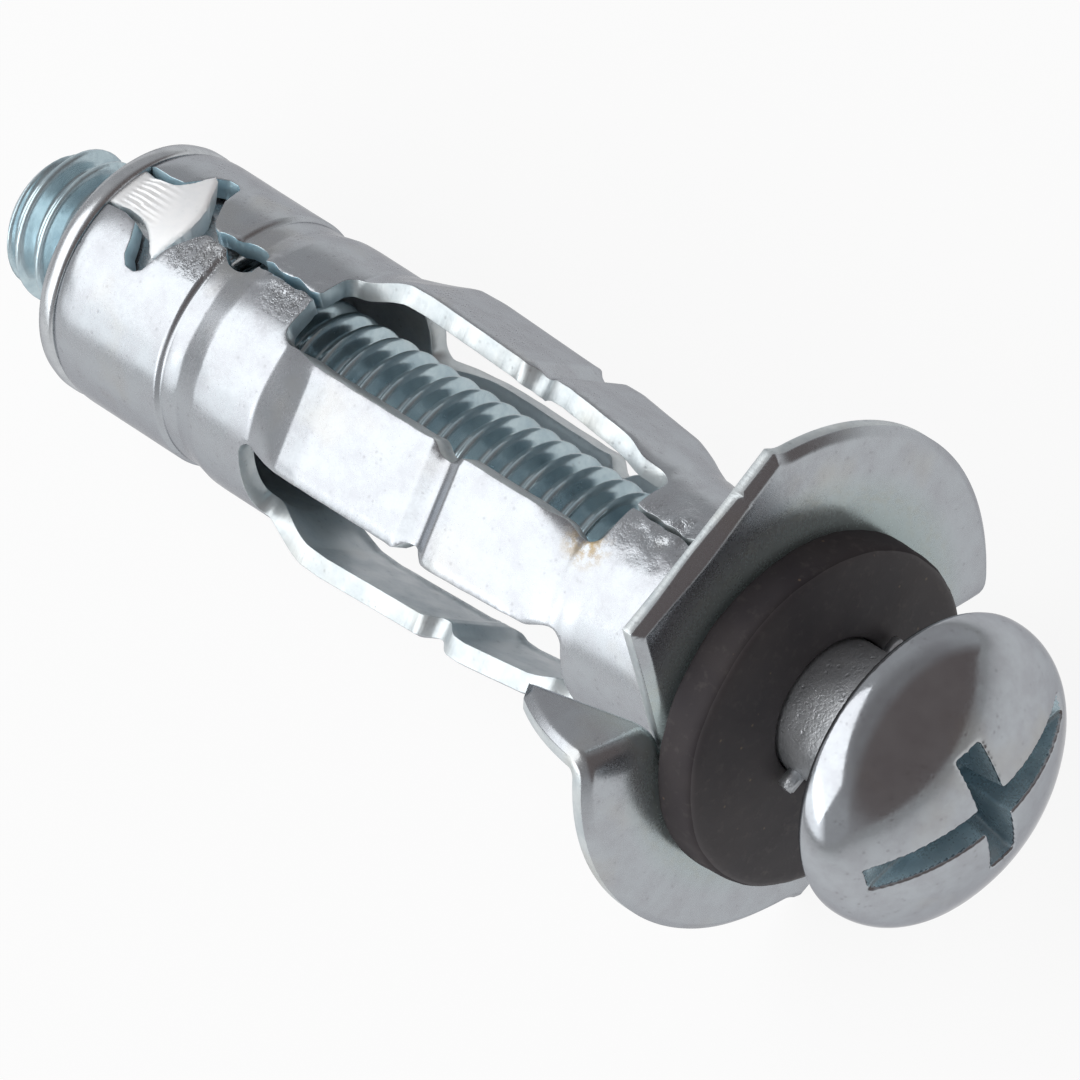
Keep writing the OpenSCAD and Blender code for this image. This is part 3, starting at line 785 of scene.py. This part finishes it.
# ------------------------------------------------------------------
# Washer: a ring punched from dark vulcanised fibre, a little off centre. It is pushed over the plain shank,
# where two pinched lugs keep it from sliding off.
# ------------------------------------------------------------------
back, front = 0.25, 1.35
washer_r, hole_r = 4.4, 1.79
shift_x, shift_y = 0.3 * cos(radians(100)), 0.3 * sin(radians(100))
washer_half = [
    (hole_r, back + 0.08), (hole_r + 0.08, back), (washer_r - 0.1, back), (washer_r - 0.02, back + 0.04),
    (washer_r, back + 0.14), (washer_r - 0.01, front - 0.3), (washer_r - 0.03, front - 0.16),
    (washer_r - 0.09, front - 0.06), (washer_r - 0.2, front - 0.01), (washer_r - 0.35, front),
    (hole_r + 0.3, front), (hole_r + 0.1, front - 0.02), (hole_r, front - 0.12),
]
work = turned(washer_half, 160, spacing=0.12)
for v in work.verts:
    r = hypot(v.co.x, v.co.y)
    share = smooth_step(hole_r, washer_r, r)
    ragged = 0.025 * noise.noise(v.co * 1.3) + 0.012 * noise.noise(v.co * 4.0)
    v.co.x += shift_x * share + v.co.x / r * ragged * share
    v.co.y += shift_y * share + v.co.y / r * ragged * share
    v.co.z = min(front, max(back, v.co.z + 0.02 * noise.noise(v.co * 0.9) - 0.01))
for face in work.faces:
    face.material_index = 1 if face.calc_center_median().z < front - 0.1 else 0


def fibre(name, shade, roughness, specular):
    """The fibre: nearly black, with a pale nap, brown chips and slow blots, its colours times the shade."""
    material, tree, shader = new_finish(name)
    place = add(tree, "ShaderNodeTexCoord").outputs["Object"]
    nap, blots = grain(tree, place, 3500.0, 5.0, 0.65), grain(tree, place, 500.0, 3.0)
    chips = add(tree, "ShaderNodeTexVoronoi", {"Vector": place, "Scale": 1900.0}).outputs[0]
    dark, less_dark, pale, brown = (
        (*(shade * part for part in colour), 1)
        for colour in ((0.050, 0.045, 0.050), (0.072, 0.064, 0.066), (0.12, 0.11, 0.105), (0.20, 0.15, 0.11)))
    base = mix_colour(tree, between(tree, blots, 0.35, 0.7), dark, less_dark)
    base = mix_colour(tree, between(tree, nap, 0.55, 0.75, 0.0, 0.5), base, pale)
    base = mix_colour(tree, between(tree, chips, 0.09, 0.04, 0.0, 0.8), base, brown)
    raised = plus(tree, nap, times(tree, blots, 1.5))
    fluff = add(tree, "ShaderNodeBump", {"Strength": 1.0, "Distance": 0.01 * millimetre, "Height": raised})
    shader.inputs["Roughness"].default_value = roughness
    shader.inputs["Specular IOR Level"].default_value = specular
    tree.links.new(base, shader.inputs["Base Color"])
    tree.links.new(fluff.outputs[0], shader.inputs["Normal"])
    return material


# The washer's side and back take the fibre at 0.8 of its colours and less gloss: painted shade.
fibre_face, fibre_edge_painted_shade = fibre("vulcanised_fibre", 1.0, 0.62, 0.5), fibre("fibre_edge_painted_shade", 0.8, 0.8, 0.15)
keep(work, "fibre_washer", "feed", "washer", "washer_fibre", fibre_face, fibre_edge_painted_shade)

# ------------------------------------------------------------------
# Thread of the screw: rolled on the steel blank and plated bluish. It is one helix of 0.7 mm pitch that
# tapers at the tip and fades into the plain shank at the other end.
# ------------------------------------------------------------------
pitch, core_r, shank_r = 0.7, 1.53, 1.75
z_tip, z_plain, z_head = -25.65, 0.2, 4.15
steps_per_turn = 16.0
helix, given, helix_out = new_group(
    "GeometryNodeTree", "rolled thread",
    [("Pitch", "NodeSocketFloat", pitch), ("Crest radius", "NodeSocketFloat", thread_r),
     ("Core radius", "NodeSocketFloat", core_r), ("Shank radius", "NodeSocketFloat", shank_r),
     ("Tip radius", "NodeSocketFloat", 1.5), ("Tip", "NodeSocketFloat", z_tip),
     ("Shank", "NodeSocketFloat", z_plain), ("Sides", "NodeSocketInt", 48), ("Finish", "NodeSocketMaterial", None)],
    [("Geometry", "NodeSocketGeometry")],
)
tip, to_shank, lead = given["Tip"], given["Shank"], given["Pitch"]
turns = plus(helix, maths(helix, "CEIL", maths(helix, "DIVIDE", minus(helix, to_shank, tip), lead)), 2.0)
grid_in = {
    "Size X": 1.0, "Size Y": 1.0, "Vertices X": plus(helix, given["Sides"], 1.0),
    "Vertices Y": plus(helix, times(helix, turns, steps_per_turn), 1.0)}
grid = add(helix, "GeometryNodeMeshGrid", grid_in).outputs[0]
# A flat grid is wound on: one side of it goes once round, the other climbs a turn for each pitch.
spot = add(helix, "ShaderNodeSeparateXYZ", {0: add(helix, "GeometryNodeInputPosition").outputs[0]}).outputs
share_round = plus(helix, spot[0], 0.5)
climb = times(helix, times(helix, plus(helix, spot[1], 0.5), turns), lead)
raw = plus(helix, minus(helix, tip, lead), plus(helix, climb, times(helix, share_round, lead)))
station_z = maths(helix, "MINIMUM", maths(helix, "MAXIMUM", raw, tip), to_shank)
phase = minus(helix, maths(helix, "DIVIDE", minus(helix, station_z, tip), lead), share_round)
from_crest = distance_to(helix, maths(helix, "FRACT", plus(helix, phase, 8.5)), 0.5)
flank = between(
    helix, from_crest, 0.03, 0.42, given["Crest radius"], given["Core radius"], interpolation_type="SMOOTHSTEP")
fade = between(helix, station_z, minus(helix, to_shank, lead), to_shank)
faded = plus(helix, flank, times(helix, fade, minus(helix, given["Shank radius"], flank)))
taper = plus(helix, given["Tip radius"], minus(helix, station_z, tip))
radius_here = maths(helix, "MINIMUM", faded, taper)
angle_here = times(helix, share_round, 2 * pi)
wrapped = add(helix, "ShaderNodeCombineXYZ", {
    0: times(helix, radius_here, maths(helix, "COSINE", angle_here)),
    1: times(helix, radius_here, maths(helix, "SINE", angle_here)), 2: station_z}).outputs[0]
joined = add(helix, "GeometryNodeJoinGeometry")
wound = add(helix, "GeometryNodeSetPosition", {"Geometry": grid, "Position": wrapped}).outputs[0]
helix.links.new(wound, joined.inputs[0])
for end_z, end_r, flip in ((tip, given["Tip radius"], True), (to_shank, given["Shank radius"], False)):
    circle_in = {"Vertices": given["Sides"], "Radius": end_r}
    disc = add(helix, "GeometryNodeMeshCircle", circle_in, fill_type="TRIANGLE_FAN").outputs[0]
    if flip:
        disc = add(helix, "GeometryNodeFlipFaces", {0: disc}).outputs[0]
    lift = add(helix, "ShaderNodeCombineXYZ", {2: end_z}).outputs[0]
    placed = add(helix, "GeometryNodeTransform", {"Geometry": disc, "Translation": lift}).outputs[0]
    helix.links.new(placed, joined.inputs[0])
made = joined.outputs[0]
for kind, inputs in (
    ("GeometryNodeMergeByDistance", {"Distance": 0.0005}), ("GeometryNodeSetShadeSmooth", {}),
    ("GeometryNodeRealizeInstances", {}), ("GeometryNodeSetMaterial", {"Material": given["Finish"]}),
):
    made = add(helix, kind, {"Geometry": made, **inputs}).outputs[0]
helix.links.new(made, helix_out[0])

thread_finish = finish(
    "blue_zinc_thread", (0.55, 0.66, 0.70), (0.42, 0.53, 0.58), (0.50, 0.56, 0.56), 0.20, 0.4, 0.0006, 0.75)[0]
holder = in_scene("thread_holder", bpy.data.meshes.new("thread_holder"))
winding = holder.modifiers.new("thread", "NODES")
winding.node_group = helix
for item in helix.interface.items_tree:
    if item.item_type == "SOCKET" and item.in_out == "INPUT" and item.name == "Finish":
        winding[item.identifier] = thread_finish
work = bmesh.new()
work.from_mesh(settled(holder))
holder.modifiers.clear()
bpy.data.objects.remove(holder)
bmesh.ops.recalc_face_normals(work, faces=work.faces)
for edge in work.edges:
    edge.smooth = not any(abs(face.normal.z) > 0.99 for face in edge.link_faces)
keep(work, "screw_thread", "screw", "screw", "screw_steel", thread_finish)

# ------------------------------------------------------------------
# Head of the screw: upset cold from the same steel to a low dome with a round shoulder, and zinc plated. A
# slot right across it and a deep cross recess are struck into it, and keep a bluish plate.
# ------------------------------------------------------------------
head_r, head_h, shoulder_r, head_wide = 3.95, 2.595, 1.3, 0.3
shoulder = Vector((head_r - shoulder_r, head_wide))
rise = head_h - head_wide
dome_r = (shoulder.x**2 + rise**2 - shoulder_r**2) / (2 * (rise - shoulder_r))
dome = Vector((0, head_h - dome_r))
meet = (shoulder - dome).normalized()
meet_angle = atan2(meet.y, meet.x)
head_half = [(0, z_head), (3.75, z_head), (3.86, z_head + 0.02)]
shoulder_start, shoulder_steps, dome_steps = -0.1, 24, 30
for k in range(shoulder_steps + 1):
    angle = shoulder_start + (meet_angle - shoulder_start) * k / shoulder_steps
    head_half.append((shoulder.x + shoulder_r * cos(angle), z_head + shoulder.y + shoulder_r * sin(angle)))
for k in range(1, dome_steps + 1):
    angle = meet_angle + (pi / 2 - meet_angle) * k / dome_steps
    head_half.append((dome_r * cos(angle) if k < dome_steps else 0, z_head + dome.y + dome_r * sin(angle)))
head_blank = new_object(turned(head_half, 160, closed=False, spacing=0.12), "head_blank")
z_top = z_head + head_h
recess_turn = radians(75)


def strike(drawing, width_top, width_bottom, turn):
    """Strikes a die into the head. The drawing is half its side view, in (half length, depth) from the edge in."""
    work = bmesh.new()
    deepest = z_top - drawing[-1][1]
    for x, depth in [(-x, depth) for x, depth in drawing] + drawing[::-1]:
        z = z_top - depth
        share = (z_top - z) / (z_top - deepest)
        half = (width_top + (width_bottom - width_top) * share) / 2
        for side in (-1, 1):
            w = side * half
            work.verts.new((x * cos(turn) - w * sin(turn), x * sin(turn) + w * cos(turn), z))
    bmesh.ops.convex_hull(work, input=work.verts)
    bmesh.ops.recalc_face_normals(work, faces=work.faces)
    die = new_object(work, "die")
    cut_in = head_blank.modifiers.new("struck", "BOOLEAN")
    cut_in.operation = "DIFFERENCE"
    cut_in.solver = "EXACT"
    cut_in.object = die
    return die


slot_drawing = [(4.2, -0.3), (3.9, 0.95), (3.1, 1.2)]
cross_drawing = [(2.1, -0.3), (1.9, 0.5), (0.95, 1.95)]
dies = [
    strike(slot_drawing, 0.86, 0.66, recess_turn), strike(cross_drawing, 0.82, 0.66, recess_turn),
    strike(cross_drawing, 0.82, 0.66, recess_turn + pi / 2),
]
fine = head_blank.modifiers.new("grain", "REMESH")
fine.mode = "VOXEL"
fine.voxel_size = 0.055
fine.use_smooth_shade = True
soften = head_blank.modifiers.new("soften", "SMOOTH")
soften.factor = 0.5
soften.iterations = 3
work = bmesh.new()
work.from_mesh(settled(head_blank))
for blank in dies + [head_blank]:
    bpy.data.objects.remove(blank)


def head_surface(r):
    """The station of the unstruck head at a radius."""
    if r > dome_r * cos(meet_angle):
        return z_head + shoulder.y + sqrt(max(0, shoulder_r**2 - (r - shoulder.x) ** 2))
    return z_head + dome.y + sqrt(dome_r**2 - r * r)


for face in work.faces:
    face.smooth = True
    middle = face.calc_center_median()
    r = hypot(middle.x, middle.y)
    sunk = middle.z > z_head + 0.5 and r < 3.6 and head_surface(r) - middle.z > 0.09
    face.material_index = 1 if sunk else 0
head_finish = finish(
    "zinc_head", (0.425, 0.45, 0.475), (0.385, 0.40, 0.425), (0.42, 0.40, 0.36), 0.12, 0.6, 0.001)[0]
recess_finish = finish(
    "blue_zinc_recess", (0.50, 0.64, 0.70), (0.36, 0.48, 0.54), (0.46, 0.52, 0.52), 0.28, 0.5, 0.0025, 0.45)[0]
keep(work, "screw_head", "screw", "screw", "screw_steel", head_finish, recess_finish)

# ------------------------------------------------------------------
# Shank of the screw: its plain part under the head, with a grainy plate. Two small lugs are pinched up from
# it, and they hold the washer.
# ------------------------------------------------------------------
z_pinch, pinch_wide, pinch_high = 1.63, 0.36, 0.6
shank_half = [
    (0, z_plain - 0.1), (shank_r - 0.02, z_plain - 0.1), (shank_r, z_plain), (shank_r, z_head - 0.14),
    (shank_r + 0.04, z_head - 0.05), (shank_r + 0.14, z_head + 0.01), (0, z_head + 0.01),
]
work = turned(shank_half, 96, closed=False, spacing=0.15)
uneven = 0.015
for v in work.verts:
    r = hypot(v.co.x, v.co.y)
    if r > 1.6:
        v.co.x += v.co.x / r * uneven * noise.noise(v.co * 2.5)
        v.co.y += v.co.y / r * uneven * noise.noise(v.co * 2.5)
for side in (-1, 1):
    pinch = Matrix.Translation((0, side * (shank_r + 0.15), z_pinch))
    pinch = pinch @ Matrix.Diagonal((pinch_wide, pinch_high, pinch_wide, 1))
    bmesh.ops.create_cube(work, size=1, matrix=pinch)


def on_pinch(v):
    near = pinch_wide / 2 + 0.01
    return abs(v.co.x) < near and abs(v.co.z - z_pinch) < near and len(v.link_edges) == 3


pinched = [edge for edge in work.edges if all(on_pinch(v) for v in edge.verts)]
bmesh.ops.bevel(work, geom=pinched, offset=0.05, segments=2, affect="EDGES")
for face in work.faces:
    face.smooth = True
shank_finish = finish(
    "zinc_shank", (0.62, 0.64, 0.66), (0.46, 0.48, 0.50), (0.50, 0.52, 0.52), 0.32, 0.3, 0.03, 0.7)[0]
keep(work, "screw_shank", "screw", "screw", "screw_steel", shank_finish)

# ------------------------------------------------------------------
# Floor and light: a white table, its glow painted fading away from the middle, one large soft light over it on
# the left of the camera, a bright wall below that light, and a dim grey room that is darkest beyond the head.
# ------------------------------------------------------------------
scene = bpy.context.scene
scene.view_settings.view_transform = "Standard"
floor_half = 2
corners = [(x * floor_half, y * floor_half, 0) for x, y in ((-1, -1), (1, -1), (1, 1), (-1, 1))]
floor_mesh = bpy.data.meshes.new("floor")
floor_mesh.from_pydata(corners, [], [(0, 1, 2, 3)])
floor_finish, tree, shader = new_finish("white_table")
tree.nodes.remove(shader)
matt = add(tree, "ShaderNodeBsdfDiffuse", {"Color": (0.8, 0.8, 0.8, 1)}).outputs[0]
place = add(tree, "ShaderNodeTexCoord").outputs["Object"]
off_centre = add(tree, "ShaderNodeVectorMath", {0: place}, operation="LENGTH").outputs["Value"]
# The table's glow is painted fading from 1 to 0.45 between 24 and 100 mm from its middle: painted fall-off of
# light.
white = {"Color": (1, 1, 1, 1), "Strength": between(tree, off_centre, 0.024, 0.1, 1.0, 0.45)}
glow_painted_falloff = add(tree, "ShaderNodeEmission", white).outputs[0]
ray = add(tree, "ShaderNodeLightPath").outputs
seen = maths(tree, "MAXIMUM", ray["Is Camera Ray"], ray["Is Glossy Ray"])
seen = maths(tree, "MAXIMUM", seen, ray["Is Transmission Ray"])
mixed = add(tree, "ShaderNodeMixShader", {0: times(tree, seen, 0.9), 1: matt, 2: glow_painted_falloff}).outputs[0]
tree.links.new(mixed, tree.nodes["Material Output"].inputs["Surface"])
floor_mesh.materials.append(floor_finish)
in_scene("floor", floor_mesh)

lamp = in_scene("left", bpy.data.lights.new("left", "AREA"))
lamp.data.shape = "RECTANGLE"
lamp.data.size, lamp.data.size_y = 0.9, 0.5
lamp.data.energy = 2.6
lamp_distance, lamp_roll = 0.5, radians(-15)
towards_lamp = Vector((-0.42, -0.537, 0.731)).normalized()
lamp.location = towards_lamp * lamp_distance
facing_down = towards_lamp.to_track_quat("Z", "Y").to_matrix()
lamp.rotation_euler = (facing_down @ Matrix.Rotation(lamp_roll, 3, "Z")).to_euler()

room = bpy.data.worlds.new("room")
scene.world = room
room.use_nodes = True
tree = room.node_tree
towards = add(tree, "ShaderNodeTexCoord").outputs["Generated"]
shade = (0.50, 0.50, 0.51, 1)
# The bright wall, the dim ceiling beyond the head and the dark beside it, each faded in towards its direction.
for direction, wide, narrow, colour in (
    ((-0.422, -0.905, 0.035), 0.85, 0.95, (1.85, 1.88, 1.9, 1)),
    ((0.58, 0.25, 0.77), 0.35, 0.75, (0.29, 0.28, 0.285, 1)),
    ((0.94, 0.25, 0.2), 0.46, 0.7, (0.19, 0.16, 0.155, 1)),
):
    facing = add(tree, "ShaderNodeVectorMath", {0: towards, 1: direction}, operation="DOT_PRODUCT")
    shade = mix_colour(tree, between(tree, facing.outputs["Value"], wide, narrow), shade, colour)
tree.links.new(shade, tree.nodes["Background"].inputs["Color"])
